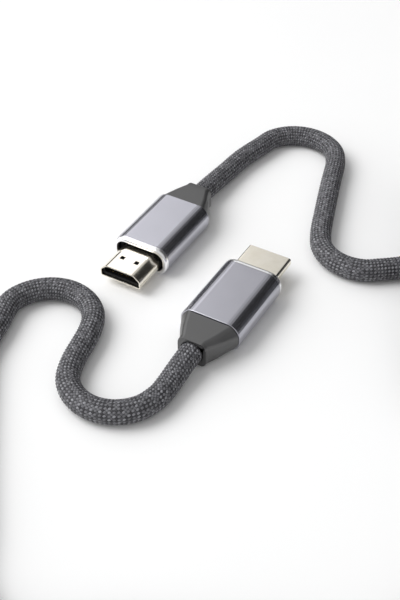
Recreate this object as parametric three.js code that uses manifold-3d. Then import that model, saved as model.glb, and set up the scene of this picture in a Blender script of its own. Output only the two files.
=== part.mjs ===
// A braided video cable: two flat metal plugs with aluminium housings, joined by one round cord.
// Millimetres, +Z up. Plug A lies along Y at the origin, its mouth towards -Y and its latched face up.
// Plug B lies beside it, its mouth towards +Y and its plain wide face up.
// The cord leaves A, arches over to the right, is put away in a tied hank, and comes back round to B.

import * as THREE from 'three';
import { mergeVertices } from 'three/addons/utils/BufferGeometryUtils.js';
import Module from 'manifold-3d';

const wasm = await Module();
wasm.setup();

// Clearances
const FIT = 0.15; // between a piece and the one that holds it
const GAP = 0.3; // between faces that meet end to end

// Connector shell, the standard full-size one
const SHELL_W = 13.9;
const SHELL_H = 4.45;
const SHELL_WALL = 0.45;
const SHELL_NARROW = 9.4; // width of the latched face
const SHELL_FLANK = 2.6; // height of the upright sides, up to the slanting corners
const SHELL_OUT = 10.6; // from the rim's front to the mouth
const SHELL_IN = 7.5; // behind the rim's front
const LATCH_SIDE = 1.3;
const LATCH_APART = 4.9; // between the two holes' centres
const LATCH_BACK = 5.4; // from the mouth to the holes' centres

// Insert and contacts
const INSERT_BACK = 0.6; // the insert's face, behind the mouth
const SLOT_W = 11.6;
const SLOT_H = 1.7;
const SLOT_DEEP = 7.6;
const PIN_COUNT_WIDE = 10; // contacts on the wide side
const PIN_COUNT_NARROW = 9; // and on the narrow side
const PIN_PITCH = 1.0;
const PIN_W = 0.42;
const PIN_H = 0.3;
const PIN_L = 6.2;
const PIN_STAND = 0.12; // how far a contact stands out of its groove
const PIN_CLEAR = 0.08; // round a contact in its groove
const PIN_BACK = 1.0; // from the insert's face to a contact's front end

// Housing, rim and boot
const BODY_W = 18.8;
const BODY_H = 9.4;
const BODY_R = 4.2; // corner radius
const BODY_WALL = 1.3;
const BODY_L = 25.7; // rim and sleeve together
const RIM_L = 1.4;
const RIM_CUT = 0.45; // the bright chamfer on the rim's outer edge
const RECESS = 2.2; // from the rim's front to the core's face
const BOOT_L = 10.0;
const BOOT_END_W = 9.0;
const BOOT_END_H = 8.2;
const BOOT_END_R = 3.9;
const BOOT_STEP = 0.35; // how far the boot is set in from the sleeve's outside
const TONGUE_L = 3.5; // the boot's front end, inside the sleeve

// Cord
const CORD_D = 6.6;
const CORD_SIDES = 10;
const CORD_R = CORD_D / 2;
const CORD_STEP = 8.5;
const LIE = CORD_R + 0.05; // height of the cord's middle where it lies on the floor

// Hank and ties
const TIE_T = 0.8;
const TIE_W = 9.0;
const HANK_X = 96.9;
const HANK_Y = 22.75;
const HANK_R = 19.8; // three diameters, at the cord's middle
const HANK_HALF = 32.7; // half the straight run
const HANK_TURN = 0.376; // radians that the hank leans from +Y towards -X
const HANK_LAYERS = 3;

const PLUG_L = SHELL_OUT + BODY_L + BOOT_L;
const MID_Z = BODY_H / 2; // height of a plug's own axis
const MOUTH_Y = -PLUG_L / 2;
const RIM_Y = MOUTH_Y + SHELL_OUT;
const SLEEVE_Y = RIM_Y + RIM_L + 0.05;
const REAR_Y = RIM_Y + BODY_L;
const BOOT_Y = REAR_Y + BOOT_L;
const PLUG_B = { x: 34.0, y: -16.5 };

const colours = {
  shell: 0xd8d2c4,
  black: 0x141416,
  gold: 0xc9a24a,
  core: 0x1a1a1c,
  housing: 0x9c9ba4,
  rim: 0xe8e8ea,
  boot: 0x5c5c5e,
  cord: 0x5b5a60,
  tie: 0x1d1d20,
};

const group = new THREE.Group();
group.name = 'video_cable';

function add(name, geometry, colour) {
  const material = new THREE.MeshStandardMaterial({ color: colours[colour] });
  const mesh = new THREE.Mesh(geometry, material);
  mesh.name = name;
  group.add(mesh);
}

// Solids as booleans take them, and back again
function solid(geometry) {
  const bare = geometry.clone();
  bare.deleteAttribute('normal');
  bare.deleteAttribute('uv');
  const merged = mergeVertices(bare, 1e-5);
  return new wasm.Manifold(new wasm.Mesh({
    numProp: 3,
    vertProperties: new Float32Array(merged.attributes.position.array),
    triVerts: new Uint32Array(merged.index.array),
  }));
}

function geometryOf(body) {
  const mesh = body.getMesh();
  const geometry = new THREE.BufferGeometry();
  geometry.setAttribute('position', new THREE.BufferAttribute(new Float32Array(mesh.vertProperties), 3));
  geometry.setIndex(new THREE.BufferAttribute(new Uint32Array(mesh.triVerts), 1));
  return geometry;
}

// A section drawn in X and Z, pushed along +Y from y0 to y1
function push(shape, y0, y1) {
  const geometry = new THREE.ExtrudeGeometry(shape, { depth: y1 - y0, bevelEnabled: false, curveSegments: 8 });
  geometry.rotateX(Math.PI / 2);
  geometry.translate(0, y1, 0);
  return geometry;
}

function block(x, y, z, w, l, h) {
  const geometry = new THREE.BoxGeometry(w, l, h);
  geometry.translate(x, y, z);
  return geometry;
}

// The points of a rounded rectangle, anticlockwise, the same number for any size
function roundRect(w, h, r, steps = 6) {
  const points = [];
  const corners = [[1, 1, 0], [-1, 1, 1], [-1, -1, 2], [1, -1, 3]];
  for (const [sx, sz, quarter] of corners) {
    for (let i = 0; i <= steps; i += 1) {
      const a = (quarter + i / steps) * Math.PI / 2;
      points.push(new THREE.Vector2(
        sx * (w / 2 - r) + r * Math.cos(a),
        sz * (h / 2 - r) + r * Math.sin(a),
      ));
    }
  }
  return points;
}

// One closed skin through rounded rectangles that stand at rising y
function loft(sections) {
  const rings = sections.map(({ y, w, h, r }) => roundRect(w, h, r).map((p) => [p.x, y, p.y]));
  const n = rings[0].length;
  const positions = rings.flat(2);
  const index = [];
  for (let k = 0; k + 1 < rings.length; k += 1) {
    for (let i = 0; i < n; i += 1) {
      const a = k * n + i;
      const b = k * n + (i + 1) % n;
      index.push(a, a + n, b, b, a + n, b + n);
    }
  }
  const last = (rings.length - 1) * n;
  for (let i = 1; i + 1 < n; i += 1) {
    index.push(0, i, i + 1);
    index.push(last, last + i + 1, last + i);
  }
  const geometry = new THREE.BufferGeometry();
  geometry.setAttribute('position', new THREE.Float32BufferAttribute(positions, 3));
  geometry.setIndex(index);
  return geometry;
}

// The shell's outline, narrow face up, set in by `inset` all round
function shellOutline(inset) {
  const half = SHELL_W / 2 - inset;
  const top = SHELL_H / 2 - inset;
  const narrow = SHELL_NARROW / 2 - inset * 0.45;
  const shoulder = -SHELL_H / 2 + SHELL_FLANK - inset * 0.35;
  return [
    new THREE.Vector2(-half, -top),
    new THREE.Vector2(half, -top),
    new THREE.Vector2(half, shoulder),
    new THREE.Vector2(narrow, top),
    new THREE.Vector2(-narrow, top),
    new THREE.Vector2(-half, shoulder),
  ];
}

function makePlug(suffix, place) {
  const put = (name, geometry, colour) => add(`${name}_${suffix}`, place(geometry), colour);

  // Connector shell: an open tube with two latch holes through its narrow face
  const shellBack = RIM_Y + SHELL_IN;
  const section = new THREE.Shape(shellOutline(0));
  section.holes.push(new THREE.Path(shellOutline(SHELL_WALL)));
  let shell = solid(push(section, MOUTH_Y, shellBack));
  for (const side of [-1, 1]) {
    const hole = block(side * LATCH_APART / 2, MOUTH_Y + LATCH_BACK, SHELL_H / 2, LATCH_SIDE, LATCH_SIDE, 1.5);
    shell = shell.subtract(solid(hole));
  }
  put('shell', geometryOf(shell), 'shell');

  // Insert: fills the shell, with a slot at its mouth and a groove for each contact
  const insertFront = MOUTH_Y + INSERT_BACK;
  const pinFront = insertFront + PIN_BACK;
  const filling = new THREE.Shape(shellOutline(SHELL_WALL + FIT));
  let insert = solid(push(filling, insertFront, shellBack - 1));
  insert = insert.subtract(solid(block(0, insertFront + SLOT_DEEP / 2 - 1, 0, SLOT_W, SLOT_DEEP + 2, SLOT_H)));
  const pins = [];
  for (const [count, side, row] of [[PIN_COUNT_WIDE, -1, 'wide'], [PIN_COUNT_NARROW, 1, 'narrow']]) {
    for (let i = 0; i < count; i += 1) {
      const x = (i - (count - 1) / 2) * PIN_PITCH;
      const z = side * (SLOT_H / 2 - PIN_STAND + PIN_H / 2);
      pins.push({ name: `contact_${row}_${i + 1}`, x, z });
      const groove = block(
        x,
        pinFront + PIN_L / 2,
        z + side * PIN_CLEAR / 2,
        PIN_W + 2 * PIN_CLEAR,
        PIN_L + 2 * PIN_CLEAR,
        PIN_H + PIN_CLEAR,
      );
      insert = insert.subtract(solid(groove));
    }
  }
  put('insert', geometryOf(insert), 'black');
  for (const pin of pins) {
    put(pin.name, block(pin.x, pinFront + PIN_L / 2, pin.z, PIN_W, PIN_L, PIN_H), 'gold');
  }

  // Rim: a ring with a bright chamfer, the same section as the sleeve behind it
  const inner = { w: BODY_W - 2 * BODY_WALL, h: BODY_H - 2 * BODY_WALL, r: BODY_R - BODY_WALL };
  const cut = 2 * RIM_CUT;
  const rimOuter = loft([
    { y: RIM_Y, w: BODY_W - cut, h: BODY_H - cut, r: BODY_R - RIM_CUT },
    { y: RIM_Y + RIM_CUT, w: BODY_W, h: BODY_H, r: BODY_R },
    { y: RIM_Y + RIM_L, w: BODY_W, h: BODY_H, r: BODY_R },
  ]);
  const bore = solid(loft([{ y: RIM_Y - 1, ...inner }, { y: REAR_Y + 1, ...inner }]));
  put('rim', geometryOf(solid(rimOuter).subtract(bore)), 'rim');

  // Sleeve: the aluminium housing, a straight tube with rounded corners
  const sleeveOuter = loft([
    { y: SLEEVE_Y, w: BODY_W, h: BODY_H, r: BODY_R },
    { y: REAR_Y, w: BODY_W, h: BODY_H, r: BODY_R },
  ]);
  put('housing', geometryOf(solid(sleeveOuter).subtract(bore)), 'housing');

  // Core: fills the sleeve between the recess and the boot's tongue, round the shell's rear end
  const coreSection = { w: inner.w - 2 * FIT, h: inner.h - 2 * FIT, r: inner.r - FIT };
  const coreBack = REAR_Y - TONGUE_L - GAP;
  const seat = new THREE.Shape(shellOutline(-FIT));
  const pocket = solid(push(seat, RIM_Y, shellBack + FIT));
  const core = solid(loft([{ y: RIM_Y + RECESS, ...coreSection }, { y: coreBack, ...coreSection }]));
  put('core', geometryOf(core.subtract(pocket)), 'core');

  // Boot: a tongue inside the sleeve, a shoulder against its rear end, and a taper to the cord
  const shoulder = { w: BODY_W - 2 * BOOT_STEP, h: BODY_H - 2 * BOOT_STEP, r: BODY_R - BOOT_STEP };
  put('boot', loft([
    { y: REAR_Y - TONGUE_L, ...coreSection },
    { y: REAR_Y + FIT, ...coreSection },
    { y: REAR_Y + FIT, ...shoulder },
    { y: REAR_Y + 1.2, ...shoulder },
    { y: BOOT_Y - 1.2, w: BOOT_END_W, h: BOOT_END_H, r: BOOT_END_R },
    { y: BOOT_Y, w: BOOT_END_W - 0.5, h: BOOT_END_H - 0.5, r: BOOT_END_R - 0.3 },
  ]), 'boot');
}

makePlug('a', (geometry) => geometry.translate(0, 0, MID_Z));
makePlug('b', (geometry) => geometry
  .rotateX(Math.PI)
  .translate(PLUG_B.x, PLUG_B.y, MID_Z));

// The cord's route. Out of plug A, over an arch to the right and down to the hank's left side
const END_A = BOOT_Y + GAP;
const leadA = [
  [0, END_A, MID_Z],
  [0, 31.45, 4.1],
  [0.2, 40.45, LIE],
  [1, 50.45, LIE],
  [3.1, 60.45, LIE],
  [4.6, 66.55, LIE],
  [8.7, 71.35, LIE],
  [14.5, 73.75, LIE],
  [20.8, 73.25, LIE],
  [26.2, 69.95, LIE],
  [29.5, 64.55, LIE],
  [33, 53.25, LIE],
  [36.7, 41.45, LIE],
  [42.3, 24.95, LIE],
  [45, 20.25, LIE],
  [49.3, 16.95, LIE],
  [54.5, 15.65, LIE],
  [59.9, 16.55, LIE],
  [64.4, 19.55, LIE],
  [69.8, 24.1, LIE],
];

// From the hank's top layer down to the floor, round in front, and back into plug B
const END_B = PLUG_B.y - BOOT_Y - GAP;
const leadB = [
  [126.6, -26.6, 16.5],
  [124.8, -35.55, 13.2],
  [122.5, -46.55, 8.3],
  [120.3, -58.55, 4.4],
  [118.6, -69.55, LIE],
  [116.4, -81.05, LIE],
  [110.2, -91.55, LIE],
  [98, -98.55, LIE],
  [79, -108.05, LIE],
  [60, -116.75, LIE],
  [47, -123.75, LIE],
  [36, -126.95, LIE],
  [26.5, -123.35, LIE],
  [16.5, -111.55, LIE],
  [3.5, -95.05, LIE],
  [-8.5, -79.05, LIE],
  [-16.6, -66.55, LIE],
  [-19.6, -55.55, LIE],
  [-21.9, -46.75, LIE],
  [-19.9, -40.95, LIE],
  [-15.5, -36.55, LIE],
  [-9.7, -34.65, LIE],
  [-3.6, -35.65, LIE],
  [1.4, -39.25, LIE],
  [4.3, -44.65, LIE],
  [7.8, -58.75, LIE],
  [10.6, -64.25, LIE],
  [15.6, -67.85, LIE],
  [21.6, -68.85, LIE],
  [27.5, -66.95, LIE],
  [31.9, -62.75, LIE],
  [33.9, -56.95, LIE],
  [34, -52, LIE],
  [34, -47.5, 4],
  [34, -43.5, 4.6],
  [PLUG_B.x, END_B, MID_Z],
];

function tube(points) {
  const path = new THREE.CatmullRomCurve3(points.map((p) => new THREE.Vector3(...p)), false, 'centripetal');
  const ring = [];
  for (let i = 0; i < CORD_SIDES; i += 1) {
    const a = (i / CORD_SIDES) * 2 * Math.PI;
    ring.push(new THREE.Vector2(CORD_R * Math.cos(a), CORD_R * Math.sin(a)));
  }
  const steps = Math.round(path.getLength() / CORD_STEP);
  return new THREE.ExtrudeGeometry(new THREE.Shape(ring), { steps, extrudePath: path, bevelEnabled: false });
}

add('cord_lead_a', tube(leadA), 'cord');
add('cord_lead_b', tube(leadB), 'cord');

// Hank: the turns as one flat ring with round ends, lying on the undersides of its two ties
function racetrack(radius) {
  const points = [];
  for (const [from, y] of [[0, HANK_HALF], [Math.PI, -HANK_HALF]]) {
    for (let i = 0; i <= 12; i += 1) {
      const a = from + (i / 12) * Math.PI;
      points.push(new THREE.Vector2(radius * Math.cos(a), y + radius * Math.sin(a)));
    }
  }
  return points;
}

const HANK_Z = TIE_T + GAP;
const HANK_H = HANK_LAYERS * CORD_D;

function placeOnHank(geometry) {
  return geometry.rotateZ(HANK_TURN).translate(HANK_X, HANK_Y, 0);
}

const turns = new THREE.Shape(racetrack(HANK_R + CORD_R));
turns.holes.push(new THREE.Path(racetrack(HANK_R - CORD_R)));
const hank = new THREE.ExtrudeGeometry(turns, { depth: HANK_H, bevelEnabled: false }).translate(0, 0, HANK_Z);
add('cord_hank', placeOnHank(hank), 'cord');

// Ties: a strap round each straight run
const TIE_IN_W = CORD_D + 2 * GAP;
const TIE_IN_H = HANK_H + 2 * GAP;
const TIE_H = TIE_IN_H + 2 * TIE_T;
for (const [side, name] of [[-1, 'tie_left'], [1, 'tie_right']]) {
  const outside = block(side * HANK_R, 0, TIE_H / 2, TIE_IN_W + 2 * TIE_T, TIE_W, TIE_H);
  const inside = block(side * HANK_R, 0, TIE_H / 2, TIE_IN_W, TIE_W + 2, TIE_IN_H);
  add(name, placeOnHank(geometryOf(solid(outside).subtract(solid(inside)))), 'tie');
}

export default group;
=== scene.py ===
import math

import bmesh
import bpy
import numpy as np
from mathutils import Matrix, Vector


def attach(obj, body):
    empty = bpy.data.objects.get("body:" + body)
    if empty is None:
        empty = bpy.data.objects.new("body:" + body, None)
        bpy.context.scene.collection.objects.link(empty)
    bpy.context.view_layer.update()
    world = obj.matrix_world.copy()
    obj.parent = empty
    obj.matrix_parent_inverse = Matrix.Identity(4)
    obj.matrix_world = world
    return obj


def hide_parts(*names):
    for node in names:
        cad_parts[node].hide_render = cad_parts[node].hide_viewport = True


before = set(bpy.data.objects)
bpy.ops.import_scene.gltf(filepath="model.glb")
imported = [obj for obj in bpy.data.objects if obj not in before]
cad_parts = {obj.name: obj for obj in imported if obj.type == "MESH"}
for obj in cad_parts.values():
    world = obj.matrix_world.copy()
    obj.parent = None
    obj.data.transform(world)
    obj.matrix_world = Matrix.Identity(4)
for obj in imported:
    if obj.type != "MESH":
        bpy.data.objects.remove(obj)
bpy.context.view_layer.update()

# Camera: a long lens, up and to the right of plug A, looking down on both plugs.
# It stands close enough for the cord to leave the picture at both sides.
LOOK_AT = Vector((0.02285, -0.01584, 0))
AZIMUTH = math.radians(30)
ELEVATION = math.radians(42)
DISTANCE = 0.2924

lens = bpy.data.cameras.new("camera")
lens.lens = 60
lens.sensor_width = 36
lens.clip_start = 0.01
lens.clip_end = 30
camera = bpy.data.objects.new("camera", lens)
bpy.context.collection.objects.link(camera)
towards = Vector((
    math.sin(AZIMUTH) * math.cos(ELEVATION),
    -math.cos(AZIMUTH) * math.cos(ELEVATION),
    math.sin(ELEVATION),
))
camera.location = LOOK_AT + towards * DISTANCE
camera.rotation_mode = "QUATERNION"
camera.rotation_quaternion = (-towards).to_track_quat("-Z", "Y")
bpy.context.scene.camera = camera
bpy.context.scene.view_settings.view_transform = "Standard"

# Connector shell: nickel-plated steel strip folded into a flat D-shaped tube and butted along its flank.
# Two square holes for the socket's spring latches are punched through its narrow face, which is up on
# plug A and down on plug B, whose mouth points the other way. Places are in metres, sizes in mm.
LIE_Z = 0.0047
PLUGS = {
    "a": Matrix.Translation((0, 0, LIE_Z)),
    "b": Matrix.Translation((0.034, -0.0165, LIE_Z)) @ Matrix.Rotation(math.pi, 4, "X"),
}
MOUTH = -23.15
RIM_FRONT = MOUTH + 10.6
SHELL_BACK = RIM_FRONT + 7.5
SHELL_W, SHELL_H, SHELL_WALL = 13.9, 4.45, 0.36
SHELL_NARROW = 9.4
SHELL_FLANK = 2.6
FOLD = 0.75
LATCH_X, LATCH_Y, LATCH_HALF = 2.45, MOUTH + 5.4, 0.7
SEAM_Z, SEAM_HALF, SEAM_DEEP = -0.75, 0.06, 0.12
NEAR = 0.01
FLAT_AREA, FLAT_EDGE = 1.5, 0.04


class Shade:
    """One output of a node in a finish. Arithmetic on it adds Math nodes."""

    def __init__(self, finish, socket):
        self.finish = finish
        self.socket = socket

    def output(self, number):
        """Another output of the same node."""
        return Shade(self.finish, self.socket.node.outputs[number])

    def math(self, operation, *values):
        sockets = dict(enumerate(values))
        return self.finish.add("Math", {"operation": operation}, sockets)

    def __add__(self, other):
        return self.math("ADD", self, other)

    def __sub__(self, other):
        return self.math("SUBTRACT", self, other)

    def __rsub__(self, other):
        return self.math("SUBTRACT", other, self)

    def __mul__(self, other):
        return self.math("MULTIPLY", self, other)

    def floor(self):
        return self.math("FLOOR", self)

    def part(self):
        return self.math("FRACT", self)

    def sine(self):
        return self.math("SINE", self)

    def odd(self):
        """1 where a whole number is odd, and 0 where it is even."""
        return self.math("FLOORED_MODULO", self, 2)

    def within(self, low, high, how="LINEAR"):
        """0 up to low and 1 from high on."""
        return self.finish.add("MapRange", {"interpolation_type": how}, {0: self, 1: low, 2: high})


class Finish:
    """A material as it is mixed: the nodes that vary it over a surface, and the shader they feed."""

    def __init__(self, name, **constant):
        self.material = bpy.data.materials.new(name)
        self.material.use_nodes = True
        self.nodes = self.material.node_tree.nodes
        self.shader = self.nodes["Principled BSDF"]
        for socket, value in constant.items():
            self.shader.inputs[socket.replace("_", " ")].default_value = value

    def give(self, node, sockets):
        for key, value in sockets.items():
            if isinstance(value, Shade):
                self.material.node_tree.links.new(value.socket, node.inputs[key])
            else:
                node.inputs[key].default_value = value

    def add(self, kind, settings={}, sockets={}, out=0):
        """A node of any kind: its settings are made first, and then its sockets."""
        node = self.nodes.new("ShaderNode" + kind)
        for key, value in settings.items():
            setattr(node, key, value)
        self.give(node, sockets)
        return Shade(self, node.outputs[out])

    def feed(self, **sockets):
        self.give(self.shader, {k.replace("_", " "): v for k, v in sockets.items()})

    def place(self, scale=(1, 1, 1)):
        """Where a point is on the piece, in millimetres, stretched by scale."""
        at = self.add("TexCoord", out="Object")
        return self.add("Mapping", {}, {"Vector": at, "Scale": [1000 * s for s in scale]})

    def noise(self, at, scale, detail=2, rough=0.5):
        sockets = {"Vector": at, "Scale": scale, "Detail": detail, "Roughness": rough}
        return self.add("TexNoise", {}, sockets, "Fac")

    def blend(self, factor, one, other):
        """From colour one to colour other as factor goes from 0 to 1."""
        return self.add("Mix", {"data_type": "RGBA"}, {0: factor, 6: one, 7: other}, 2)

    def relief(self, height, distance, strength=1.0):
        sockets = {"Height": height, "Distance": distance, "Strength": strength}
        self.feed(Normal=self.add("Bump", {}, sockets))


def outline(bm, corners, radius, y, segments=8):
    """A flat face through corners in X and Z at y, with each corner rounded."""
    ring = [bm.verts.new((x, y, z)) for x, z in corners]
    bm.faces.new(ring)
    bmesh.ops.bevel(bm, geom=ring, affect="VERTICES", offset=radius, segments=segments,
                    profile=0.5, material=-1)
    return bm.faces[:]


def verts_in(geom):
    return [v for v in geom if isinstance(v, bmesh.types.BMVert)]


def push(bm, faces, shift):
    """Extrudes faces by shift."""
    made = bmesh.ops.extrude_face_region(bm, geom=faces)["geom"]
    bmesh.ops.translate(bm, verts=verts_in(made), vec=shift)


def draw_out(bm, edges, shift):
    """Extrudes edges by shift and gives back the new ones at the far end."""
    made = bmesh.ops.extrude_edge_only(bm, edges=edges)["geom"]
    far = verts_in(made)
    bmesh.ops.translate(bm, verts=far, vec=shift)
    return [e for e in made if isinstance(e, bmesh.types.BMEdge) and all(v in far for v in e.verts)]


def round_edges(bm, edges, width, segments=2):
    bmesh.ops.bevel(bm, geom=edges, affect="EDGES", offset=width, segments=segments,
                    profile=0.5, material=-1, clamp_overlap=True)


def unique(items):
    """The items in their own order, each once."""
    return list(dict.fromkeys(items))


def sharp(bm, least):
    """The edges where two faces meet at more than least degrees."""
    return [e for e in bm.edges if e.is_manifold and e.calc_face_angle() > math.radians(least)]


def settle(bm, name, place, finish, nodes):
    """Ends a piece drawn in millimetres: puts it in its place, in metres, and gives it its finish.

    A narrow edge round each large flat keeps its shading flat beside rounded ones.
    """
    bmesh.ops.remove_doubles(bm, verts=bm.verts, dist=1e-4)
    bmesh.ops.recalc_face_normals(bm, faces=bm.faces)
    flats = [f for f in bm.faces if len(f.verts) == 4 and f.calc_area() > FLAT_AREA]
    bmesh.ops.inset_individual(bm, faces=flats, thickness=FLAT_EDGE)
    bmesh.ops.transform(bm, matrix=place @ Matrix.Scale(0.001, 4), verts=bm.verts)
    mesh = bpy.data.meshes.new(name)
    bm.to_mesh(mesh)
    bm.free()
    mesh.shade_smooth()
    mesh.set_sharp_from_angle(angle=math.radians(38))
    piece = bpy.data.objects.new(name, mesh)
    bpy.context.collection.objects.link(piece)
    mesh.materials.append(finish.material)
    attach(piece, "root")
    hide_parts(*nodes)
    return piece


nickel = Finish("nickel_plate", Metallic=1.0)
smear = nickel.noise(nickel.place(), 0.35, 3)
scratch = nickel.noise(nickel.place((9, 0.35, 9)), 1.6, 3, 0.7)
nickel.feed(
    Base_Color=nickel.blend(smear.within(0.3, 0.7), (0.93, 0.885, 0.79, 1), (0.87, 0.82, 0.71, 1)),
    Roughness=smear * 0.08 + scratch * 0.1 + 0.08,
)
nickel.relief(scratch, 0.00001, 0.35)

half = SHELL_W / 2
shell_corners = [
    (-half, -SHELL_H / 2),
    (half, -SHELL_H / 2),
    (half, -SHELL_H / 2 + SHELL_FLANK),
    (SHELL_NARROW / 2, SHELL_H / 2),
    (-SHELL_NARROW / 2, SHELL_H / 2),
    (-half, -SHELL_H / 2 + SHELL_FLANK),
]


def faces_at(bm, test):
    """The faces whose middles pass the test."""
    return [f for f in bm.faces if test(f.calc_center_median())]


def cut(bm, faces, place, normal):
    """Cuts only those faces along a plane."""
    edges = unique(e for f in faces for e in f.edges)
    verts = unique(v for f in faces for v in f.verts)
    bmesh.ops.bisect_plane(bm, geom=edges + verts + faces, plane_co=place, plane_no=normal)


def on_narrow_face(middle):
    return middle.z > SHELL_H / 2 - NEAR


def in_latch_hole(middle):
    beside = abs(abs(middle.x) - LATCH_X)
    return on_narrow_face(middle) and beside < LATCH_HALF and abs(middle.y - LATCH_Y) < LATCH_HALF


def on_flank(middle):
    return middle.x > SHELL_W / 2 - NEAR


def in_seam(middle):
    return on_flank(middle) and abs(middle.z - SEAM_Z) < SEAM_HALF


def square_ends(bm):
    """Squares the shell's ends and its holes' walls, which solidify leaves slanting."""
    for v in bm.verts:
        v.co.y = min(max(v.co.y, MOUTH), SHELL_BACK)
        hole = Vector((math.copysign(LATCH_X, v.co.x), LATCH_Y))
        off = v.co.xy - hole
        if v.co.z > SHELL_H / 2 - 2 * SHELL_WALL and max(abs(off.x), abs(off.y)) < LATCH_HALF - NEAR:
            v.co.x = hole.x + math.copysign(LATCH_HALF, off.x)
            v.co.y = hole.y + math.copysign(LATCH_HALF, off.y)


for side, place in PLUGS.items():
    bm = bmesh.new()
    front = outline(bm, shell_corners, FOLD, MOUTH, 6)
    push(bm, front, (0, SHELL_BACK - MOUTH, 0))
    ends = [f for f in bm.faces if abs(f.normal.y) > 0.9]
    bmesh.ops.delete(bm, geom=ends, context="FACES_ONLY")
    for x in (-LATCH_X, LATCH_X):
        for d in (-LATCH_HALF, LATCH_HALF):
            cut(bm, faces_at(bm, on_narrow_face), (x + d, 0, 0), (1, 0, 0))
    for d in (-LATCH_HALF, LATCH_HALF):
        cut(bm, faces_at(bm, on_narrow_face), (0, LATCH_Y + d, 0), (0, 1, 0))
    bmesh.ops.delete(bm, geom=faces_at(bm, in_latch_hole), context="FACES")
    for d in (-SEAM_HALF, SEAM_HALF):
        cut(bm, faces_at(bm, on_flank), (0, 0, SEAM_Z + d), (0, 0, 1))
    bmesh.ops.recalc_face_normals(bm, faces=bm.faces)
    seam = faces_at(bm, in_seam)
    push(bm, seam, (-SEAM_DEEP, 0, 0))
    bmesh.ops.delete(bm, geom=seam, context="FACES_ONLY")
    bmesh.ops.recalc_face_normals(bm, faces=bm.faces)
    bmesh.ops.solidify(bm, geom=bm.faces[:], thickness=SHELL_WALL)
    square_ends(bm)
    round_edges(bm, sharp(bm, 70), 0.05)
    name = "shell_" + side
    settle(bm, name + "_plated", place, nickel, [name])

# Insert: black nylon that fills the shell, with a slot where the socket's tongue goes in.
# The solids' own shape is right, so it keeps that and gets a moulded surface.
nylon = Finish("black_nylon", Specular_IOR_Level=0.12)
grain = nylon.noise(nylon.place(), 6, 3)
nylon.feed(
    Base_Color=nylon.blend(grain, (0.005, 0.005, 0.006, 1), (0.011, 0.011, 0.012, 1)),
    Roughness=grain * 0.2 + 0.45,
)
nylon.relief(grain, 0.00002, 0.4)
for side in PLUGS:
    for node in ("insert_" + side, "core_" + side):
        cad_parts[node].data.materials.clear()
        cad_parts[node].data.materials.append(nylon.material)

# Contacts: strips of gold-plated bronze, ten on the slot's wide side and nine on its narrow one.
# Each lies in a groove of the insert and stands a little out of it, into the slot.
gold = Finish("gold_plate", Metallic=1.0)
worn = gold.noise(gold.place((3, 0.5, 3)), 1.2, 3)
gold.feed(
    Base_Color=gold.blend(worn, (0.80, 0.53, 0.18, 1), (0.93, 0.70, 0.34, 1)),
    Roughness=worn * 0.18 + 0.14,
)
PIN_FRONT = MOUTH + 1.6
PIN_W, PIN_L, PIN_H = 0.42, 6.2, 0.3
PIN_PITCH = 1.0
SLOT_HALF, PIN_STAND = 0.85, 0.12
PIN_Z = SLOT_HALF - PIN_STAND + PIN_H / 2
for side, place in PLUGS.items():
    bm = bmesh.new()
    nodes = []
    for count, face, row in ((10, -1, "wide"), (9, 1, "narrow")):
        for i in range(count):
            at = (PIN_PITCH * (i - (count - 1) / 2), PIN_FRONT + PIN_L / 2, face * PIN_Z)
            box = Matrix.Translation(at) @ Matrix.Diagonal((PIN_W, PIN_L, PIN_H, 1))
            strip = bmesh.ops.create_cube(bm, size=1, matrix=box)["verts"]
            round_edges(bm, unique(e for v in strip for e in v.link_edges), 0.07)
            nodes.append(f"contact_{row}_{i + 1}_{side}")
    settle(bm, "contacts_" + side, place, gold, nodes)

# Rim: a ring at the housing's mouth with a diamond-cut chamfer, left bright.
# It has the housing's own section and is pressed into its end.
BODY_W, BODY_H, BODY_R, BODY_WALL = 18.8, 9.4, 4.2, 1.3
RIM_L, RIM_CUT = 1.4, 0.6

bright = Finish("bright_cut_metal", Metallic=1.0)
turning = bright.noise(bright.place((1, 14, 1)), 1.2, 2)
bright.feed(
    Base_Color=bright.blend(turning, (0.97, 0.97, 0.98, 1), (0.90, 0.90, 0.92, 1)),
    Roughness=turning * 0.1 + 0.2,
)


def oblong(width, height):
    """The corners of a rectangle about the middle, in X and Z."""
    return [(sx * width / 2, sz * height / 2) for sx, sz in ((1, 1), (-1, 1), (-1, -1), (1, -1))]


def band(bm, y0, y1):
    """A straight tube with the housing's section and wall, from y0 to y1."""
    for step in (0, BODY_WALL):
        corners = oblong(BODY_W - 2 * step, BODY_H - 2 * step)
        outline(bm, corners, BODY_R - step, y0, 10)
    bmesh.ops.delete(bm, geom=bm.faces[:], context="FACES_ONLY")
    wall = bmesh.ops.bridge_loops(bm, edges=bm.edges[:])["faces"]
    push(bm, wall, (0, y1 - y0, 0))
    bmesh.ops.recalc_face_normals(bm, faces=bm.faces)


def edges_at(bm, y, outside):
    """The edges round the tube's end at y, outside or inside."""
    def out(v):
        past_x = max(abs(v.co.x) - BODY_W / 2 + BODY_R, 0)
        past_z = max(abs(v.co.z) - BODY_H / 2 + BODY_R, 0)
        return math.hypot(past_x, past_z) > BODY_R - BODY_WALL / 2

    return [
        e for e in bm.edges
        if all(abs(v.co.y - y) < 1e-3 and out(v) == outside for v in e.verts)
    ]


for side, place in PLUGS.items():
    bm = bmesh.new()
    band(bm, RIM_FRONT, RIM_FRONT + RIM_L)
    round_edges(bm, edges_at(bm, RIM_FRONT, True), RIM_CUT, 3)
    round_edges(bm, edges_at(bm, RIM_FRONT, False), 0.15, 2)
    name = "rim_" + side
    settle(bm, name + "_bright", place, bright, [name])

# Housing: a drawn aluminium sleeve, blasted and anodised grey, its wide faces plain and bare.
# It slides over the core and is glued there; its ends are broken by a small radius.
HOUSING_FRONT = RIM_FRONT + RIM_L + 0.05
HOUSING_BACK = RIM_FRONT + 25.7

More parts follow.
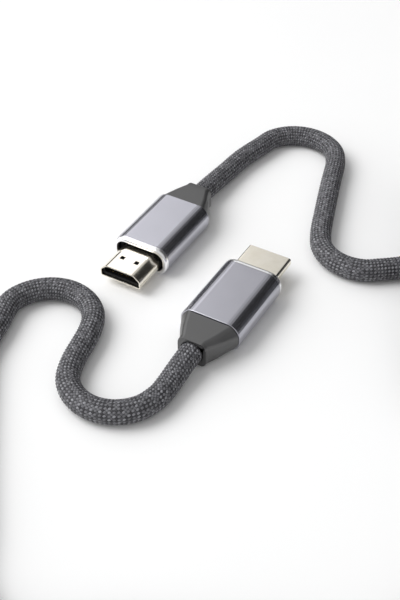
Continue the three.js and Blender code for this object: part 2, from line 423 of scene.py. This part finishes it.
anodised = Finish("anodised_aluminium", Metallic=1.0)
blast = anodised.noise(anodised.place(), 7, 3, 0.6)
cloud = anodised.noise(anodised.place(), 0.12, 2)
mottle = blast * 0.5 + cloud * 0.5
anodised.feed(
    Base_Color=anodised.blend(mottle, (0.42, 0.42, 0.465, 1), (0.51, 0.508, 0.56, 1)),
    Roughness=blast * 0.1 + 0.2,
)
anodised.relief(blast, 0.00001, 0.5)

for side, place in PLUGS.items():
    bm = bmesh.new()
    band(bm, HOUSING_FRONT, HOUSING_BACK)
    round_edges(bm, edges_at(bm, HOUSING_FRONT, True), 0.08, 2)
    round_edges(bm, edges_at(bm, HOUSING_BACK, True), 0.15, 3)
    name = "housing_" + side
    settle(bm, name + "_anodised", place, anodised, [name])

# Boot: a moulded grey stopper whose tongue is glued into the housing.
# Flat facets taper from the housing's width to the cord, which leaves it through a round hole.
BOOT_BACK = HOUSING_BACK + 10
BOOT_FRONT = HOUSING_BACK + 0.15
TONGUE_FRONT = HOUSING_BACK - 3.5
HOLE_R, HOLE_DEEP = 3.5, 1.6
TONGUE = (7.7, 3.2, 5.6, 1.4)
boot_rings = [
    # along Y, half width, half height, half width of the flat top, height where the side starts
    (TONGUE_FRONT, *TONGUE),
    (BOOT_FRONT, *TONGUE),
    (BOOT_FRONT, 9.0, 4.32, 6.9, 1.7),
    (HOUSING_BACK + 5.2, 6.55, 4.2, 5.2, 2.1),
    (BOOT_BACK - 1.2, 4.5, 4.1, 3.6, 2.6),
    (BOOT_BACK, 4.4, 4.0, 3.5, 2.6),
]

rubber = Finish("moulded_boot", Specular_IOR_Level=1.0)
skin = rubber.noise(rubber.place(), 5, 4, 0.6)
rubber.feed(
    Base_Color=rubber.blend(skin, (0.040, 0.040, 0.041, 1), (0.055, 0.055, 0.056, 1)),
    Roughness=skin * 0.12 + 0.28,
)
rubber.relief(skin, 0.00003, 0.5)


def eight(bm, y, w, h, flat, low):
    """A ring of eight edges: a rectangle with its four corners cut off."""
    upper = [(w, low), (flat, h), (-flat, h), (-w, low)]
    lower = [(-x, -z) for x, z in upper]
    verts = [bm.verts.new((x, y, z)) for x, z in upper + lower]
    return [bm.edges.new((a, b)) for a, b in zip(verts, verts[1:] + verts[:1])]


def taper_edges(bm):
    """The edges along the boot's taper where its facets meet."""
    def along(e):
        start, end = sorted(v.co.y for v in e.verts)
        return start > HOUSING_BACK and end - start > 0.5

    return [
        e for e in bm.edges
        if e.is_manifold and along(e) and e.calc_face_angle() > math.radians(8)
    ]


for side, place in PLUGS.items():
    bm = bmesh.new()
    rings = [eight(bm, *ring) for ring in boot_rings]
    for one, other in zip(rings, rings[1:]):
        bmesh.ops.bridge_loops(bm, edges=one + other)
    bmesh.ops.edgenet_fill(bm, edges=rings[0])
    round_edges(bm, taper_edges(bm), 0.8, 4)
    rear = [e for e in bm.edges if all(v.co.y > BOOT_BACK - NEAR for v in e.verts)]
    upright = Matrix.Translation((0, BOOT_BACK, 0)) @ Matrix.Rotation(math.pi / 2, 4, "X")
    circle = bmesh.ops.create_circle(
        bm, cap_ends=False, radius=HOLE_R, segments=32, matrix=upright
    )["verts"]
    hole = unique(e for v in circle for e in v.link_edges)
    bmesh.ops.bridge_loops(bm, edges=rear + hole)
    bmesh.ops.edgenet_fill(bm, edges=draw_out(bm, hole, (0, -HOLE_DEEP, 0)))
    name = "boot_" + side
    settle(bm, name + "_moulded", place, rubber, [name])

# Ties: hook-and-loop straps, one closed round each straight run of the hank.
# They keep the length that isn't in use wound up, and the hank rests on them.
HANK = Vector((96.9, 22.75))
HANK_R, HANK_HALF, HANK_TURN = 19.8, 32.7, 0.376
TIE_L, TIE_T = 9.0, 0.8
TIE_W, TIE_H = 7.2 + 2 * TIE_T, 20.4 + 2 * TIE_T

hooks = Finish("hook_and_loop_strap")
nap = hooks.noise(hooks.place(), 4, 4, 0.7)
hooks.feed(
    Base_Color=hooks.blend(nap, (0.010, 0.010, 0.012, 1), (0.035, 0.035, 0.040, 1)),
    Roughness=nap * 0.2 + 0.7,
)
hooks.relief(nap, 0.0002, 0.8)

for name, across in (("tie_left", -HANK_R), ("tie_right", HANK_R)):
    bm = bmesh.new()
    outline(bm, oblong(TIE_W, TIE_H), TIE_W / 2 - 0.2, -TIE_L / 2, 6)
    loop = bm.edges[:]
    bmesh.ops.delete(bm, geom=bm.faces[:], context="FACES_ONLY")
    draw_out(bm, loop, (0, TIE_L, 0))
    bmesh.ops.recalc_face_normals(bm, faces=bm.faces)
    bmesh.ops.solidify(bm, geom=bm.faces[:], thickness=TIE_T)
    for v in bm.verts:
        v.co.y = min(max(v.co.y, -TIE_L / 2), TIE_L / 2)
    round_edges(bm, sharp(bm, 70), 0.15)
    spot = (
        Matrix.Translation((HANK.x / 1000, HANK.y / 1000, 0))
        @ Matrix.Rotation(HANK_TURN, 4, "Z")
        @ Matrix.Translation((across / 1000, 0, TIE_H / 2000))
    )
    settle(bm, name + "_strap", spot, hooks, [name])

# Cord: copper cores and foil under a round sleeve of grey nylon yarns, plaited in two directions.
# It runs from plug A's boot over the floor, through a tied hank of two and a half turns, to plug B.
# Its thickness and its relief are in metres, its path in mm.
CORD_D = 0.0066
LIE = 3.35
STRANDS = 20
SIDES = 2 * STRANDS
PLAIT = 1.04
RELIEF, SUNK = 0.00009, 0.00005
LAYERS, LAYER_H, FIRST_LAYER_Z = 3, 6.6, 4.45

out_of_a = [
    (0, 22.35, 4.7), (0, 23.45, 4.7), (0, 31.45, 4.1), (0.2, 40.45, LIE), (1, 50.45, LIE),
    (3.1, 60.45, LIE), (4.6, 66.55, LIE), (8.7, 71.35, LIE), (14.5, 73.75, LIE), (20.8, 73.25, LIE),
    (26.2, 69.95, LIE), (29.5, 64.55, LIE), (33, 53.25, LIE), (36.7, 41.45, LIE), (42.3, 24.95, LIE),
    (45, 20.25, LIE), (49.3, 16.95, LIE), (54.5, 15.65, LIE), (59.9, 16.55, LIE), (64.4, 19.55, LIE),
    (69.8, 24.1, LIE), (71.2, 26.6, 3.6),
]
into_b = [
    (126.9, -22.55, 17.4), (124.8, -35.55, 13.2), (122.5, -46.55, 8.3), (120.3, -58.55, 4.4),
    (118.6, -69.55, LIE), (116.4, -81.05, LIE), (110.2, -91.55, LIE), (98, -98.55, LIE),
    (79, -108.05, LIE), (60, -116.75, LIE), (47.5, -124.75, LIE), (36.4, -128.35, LIE),
    (26.3, -124.35, LIE), (16.5, -111.55, LIE), (3.5, -95.05, LIE), (-8.5, -79.05, LIE),
    (-16.6, -66.55, LIE), (-19.6, -55.55, LIE), (-21.9, -46.75, LIE), (-19.9, -40.95, LIE),
    (-15.5, -36.55, LIE), (-9.7, -34.65, LIE), (-3.6, -35.65, LIE), (1.4, -39.25, LIE),
    (4.3, -44.65, LIE), (7.8, -58.75, LIE), (10.6, -64.25, LIE), (15.6, -67.85, LIE),
    (21.6, -68.85, LIE), (27.5, -66.95, LIE), (31.9, -62.75, LIE), (33.9, -56.95, LIE), (34, -52, LIE),
    (34, -47.5, 4), (34, -43.5, 4.6), (34, -39.95, 4.7), (34, -38.85, 4.7),
]


def wound():
    """The hank's passes, each a left run, a fold, a right run and a fold, a layer higher every time."""
    along = Vector((-math.sin(HANK_TURN), math.cos(HANK_TURN)))
    over = Vector((math.cos(HANK_TURN), math.sin(HANK_TURN)))
    points = []

    def at(x, y, z):
        points.append((*(HANK + over * x + along * y), z))

    def fold(end, angles, z):
        for a in angles:
            at(HANK_R * math.cos(a), end * HANK_HALF + HANK_R * math.sin(a), z)

    for layer in range(LAYERS):
        z = FIRST_LAYER_Z + LAYER_H * layer
        if layer == 0:
            for y in (0.55, 0.8):
                at(-HANK_R, y * HANK_HALF, z)
        else:
            for y, climbed in zip((-1, -0.6, -0.2, 0.2, 0.6), (0, 0.3, 0.8, 1, 1)):
                at(-HANK_R, y * HANK_HALF, z - LAYER_H * (1 - climbed))
        fold(1, [math.pi * (1 - i / 9) for i in range(9)], z)
        for y in (1, 0.5, 0, -0.5):
            at(HANK_R, y * HANK_HALF, z)
        if layer < LAYERS - 1:
            fold(-1, [-math.pi * i / 9 for i in range(9)], z)
        else:
            fold(-1, (0, -0.18, -0.36, -0.52), z)
    return points


def between(t, start, end, one, other):
    """Point one at start and point other at end, and the straight line through both for any t."""
    return ((end - t) * one + (t - start) * other) / (end - start)


def smooth_line(points, step):
    """Points a step apart on a smooth curve through points, the curve that the solids follow too."""
    p = np.array(points, float)
    p = np.vstack([2 * p[0] - p[1], p, 2 * p[-1] - p[-2]])
    line = []
    for a, b, c, d in zip(p, p[1:], p[2:], p[3:]):
        t1 = np.linalg.norm(b - a) ** 0.5
        t2 = t1 + np.linalg.norm(c - b) ** 0.5
        t3 = t2 + np.linalg.norm(d - c) ** 0.5
        t = np.linspace(t1, t2, 24, endpoint=False)[:, None]
        ab, bc, cd = between(t, 0, t1, a, b), between(t, t1, t2, b, c), between(t, t2, t3, c, d)
        line.append(between(t, t1, t2, between(t, 0, t2, ab, bc), between(t, t1, t3, bc, cd)))
    line = np.vstack([*line, p[-2:-1]])
    run = np.r_[0, np.cumsum(np.linalg.norm(np.diff(line, axis=0), axis=1))]
    even = np.linspace(0, run[-1], round(run[-1] / step) + 1)
    return np.stack([np.interp(even, run, line[:, k]) for k in range(3)], 1) / 1000


centreline = smooth_line(out_of_a + wound() + into_b, PLAIT / 2)

braid = Finish("plaited_nylon", Roughness=0.5)
length = braid.add("SeparateXYZ", {}, {0: braid.add("UVMap", {"uv_map": "plait"})})
turn = length.output(1)
one, other = turn + length, turn - length
on_top = (one.floor() + other.floor()).odd()
across = on_top * one.part() + (1 - on_top) * other.part()
along = on_top * other.part() + (1 - on_top) * one.part()
crown = (across * math.pi).sine()
arch = (along * math.pi).sine()
threads = (across * (2 * math.pi * 5)).sine()
cell = braid.add("CombineXYZ", {}, {0: one.floor(), 1: other.floor()})
chance = braid.add("TexWhiteNoise", {"noise_dimensions": "2D"}, {"Vector": cell}, "Value")
height = crown * (arch * 0.6 + 0.4) + threads * 0.06
# The paler cells, one yarn direction and random ones, are partly lighter yarns and partly painted sheen:
# flecks of light off shiny filaments.
pale_cells_and_sheen = (on_top * 0.45 + chance * chance * 0.55).within(0.1, 1)
yarn_colour_and_sheen = braid.blend(pale_cells_and_sheen, (0.034, 0.033, 0.038, 1), (0.32, 0.32, 0.345, 1))
# The low parts of the relief, the gaps between the yarns, are coloured near black: painted shade.
braid.feed(
    Base_Color=braid.blend(height.within(0.05, 0.55), (0.02, 0.02, 0.023, 1), yarn_colour_and_sheen),
    Roughness=0.62 - chance * 0.2,
)
braid.relief(height, 0.00018, 0.9)

tube = bpy.data.curves.new("cord", "CURVE")
tube.dimensions = "3D"
tube.twist_mode = "Z_UP"
tube.bevel_depth = CORD_D / 2 - SUNK
tube.bevel_resolution = STRANDS - 2
spline = tube.splines.new("POLY")
spline.points.add(len(centreline) - 1)
for point, spot in zip(spline.points, centreline):
    point.co = (*spot, 1)
swept = bpy.data.objects.new("cord_sweep", tube)
bpy.context.collection.objects.link(swept)
mesh = bpy.data.meshes.new_from_object(swept)
bpy.data.objects.remove(swept)

at = np.empty(len(mesh.vertices) * 3)
mesh.vertices.foreach_get("co", at)
at = at.reshape(-1, SIDES, 3)
ring, way = np.indices(at.shape[:2])
out = at - at.mean(axis=1, keepdims=True)
out /= np.linalg.norm(out, axis=2, keepdims=True)
at += out * np.where((ring + way) % 2, RELIEF, -RELIEF)[:, :, None]
mesh.vertices.foreach_set("co", at.ravel())
uv = mesh.uv_layers[0]
uv.name = "plait"
flat = np.empty(len(mesh.loops) * 2)
uv.data.foreach_get("uv", flat)
flat = flat.reshape(-1, 2) * ((len(centreline) - 1) / 2, STRANDS)
uv.data.foreach_set("uv", flat.ravel())
bm = bmesh.new()
bm.from_mesh(mesh)
bmesh.ops.holes_fill(bm, edges=[e for e in bm.edges if e.is_boundary])
bm.to_mesh(mesh)
bm.free()
mesh.shade_smooth()
mesh.materials.append(braid.material)
cord = bpy.data.objects.new("cord_braided", mesh)
bpy.context.collection.objects.link(cord)
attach(cord, "root")
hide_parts("cord_lead_a", "cord_hank", "cord_lead_b")

# Floor: a wide white table top, plain and matt, which fills the picture.
# It is scenery and not part of the cable.
paper = Finish("white_table", Roughness=0.85)
haze = paper.noise(paper.place(), 0.02, 2)
paper.feed(Base_Color=paper.blend(haze, (0.93, 0.93, 0.93, 1), (0.95, 0.95, 0.95, 1)))
bm = bmesh.new()
bmesh.ops.create_grid(bm, x_segments=4, y_segments=4, size=4)
table_mesh = bpy.data.meshes.new("table")
bm.to_mesh(table_mesh)
bm.free()
table_mesh.materials.append(paper.material)
table = bpy.data.objects.new("table", table_mesh)
bpy.context.collection.objects.link(table)

# Light: a bright white tent overhead, open and dark behind the cable towards the horizon.
# It is dimmer to the right, and a black flag stands at the back there: the metal mirrors both.
# One large soft lamp on the left lays the shadows to the right.
class Sky(Finish):
    """The world's brightness by direction, mixed from nodes as a finish is."""

    def __init__(self, name):
        self.material = bpy.data.worlds.new(name)
        self.material.use_nodes = True
        self.nodes = self.material.node_tree.nodes
        self.shader = self.nodes["Background"]
        self.shader.inputs["Color"].default_value = (1, 1, 1, 1)


sky = Sky("tent")
bpy.context.scene.world = sky.material
right = sky.add("SeparateXYZ", {}, {0: sky.add("TexCoord", out="Generated")})
back, up = right.output(1), right.output(2)
tent = (up - back * 0.35).within(0.1, 0.27, "SMOOTHSTEP")
fade = right.within(-0.47, -0.3, "SMOOTHSTEP") * 0.62
aside = right.within(-0.1, 0.2, "SMOOTHSTEP") * back.within(0.28, 0.55, "SMOOTHSTEP")
flag = aside * (1 - up.within(0.84, 0.97, "SMOOTHSTEP"))
sky.feed(Strength=tent * (1 - fade) * (1 - flag) * 1.55 + 0.02)


def lamp(name, place, aim, size, watts):
    """A round soft lamp at place, turned to aim."""
    data = bpy.data.lights.new(name, "AREA")
    data.shape = "DISK"
    data.size = size
    data.energy = watts
    light = bpy.data.objects.new(name, data)
    bpy.context.collection.objects.link(light)
    light.location = place
    light.rotation_mode = "QUATERNION"
    light.rotation_quaternion = (Vector(aim) - Vector(place)).to_track_quat("-Z", "Y")


lamp("softbox_left", (-0.55, -0.25, 0.75), (0.02, 0.02, 0), 0.7, 4.8)
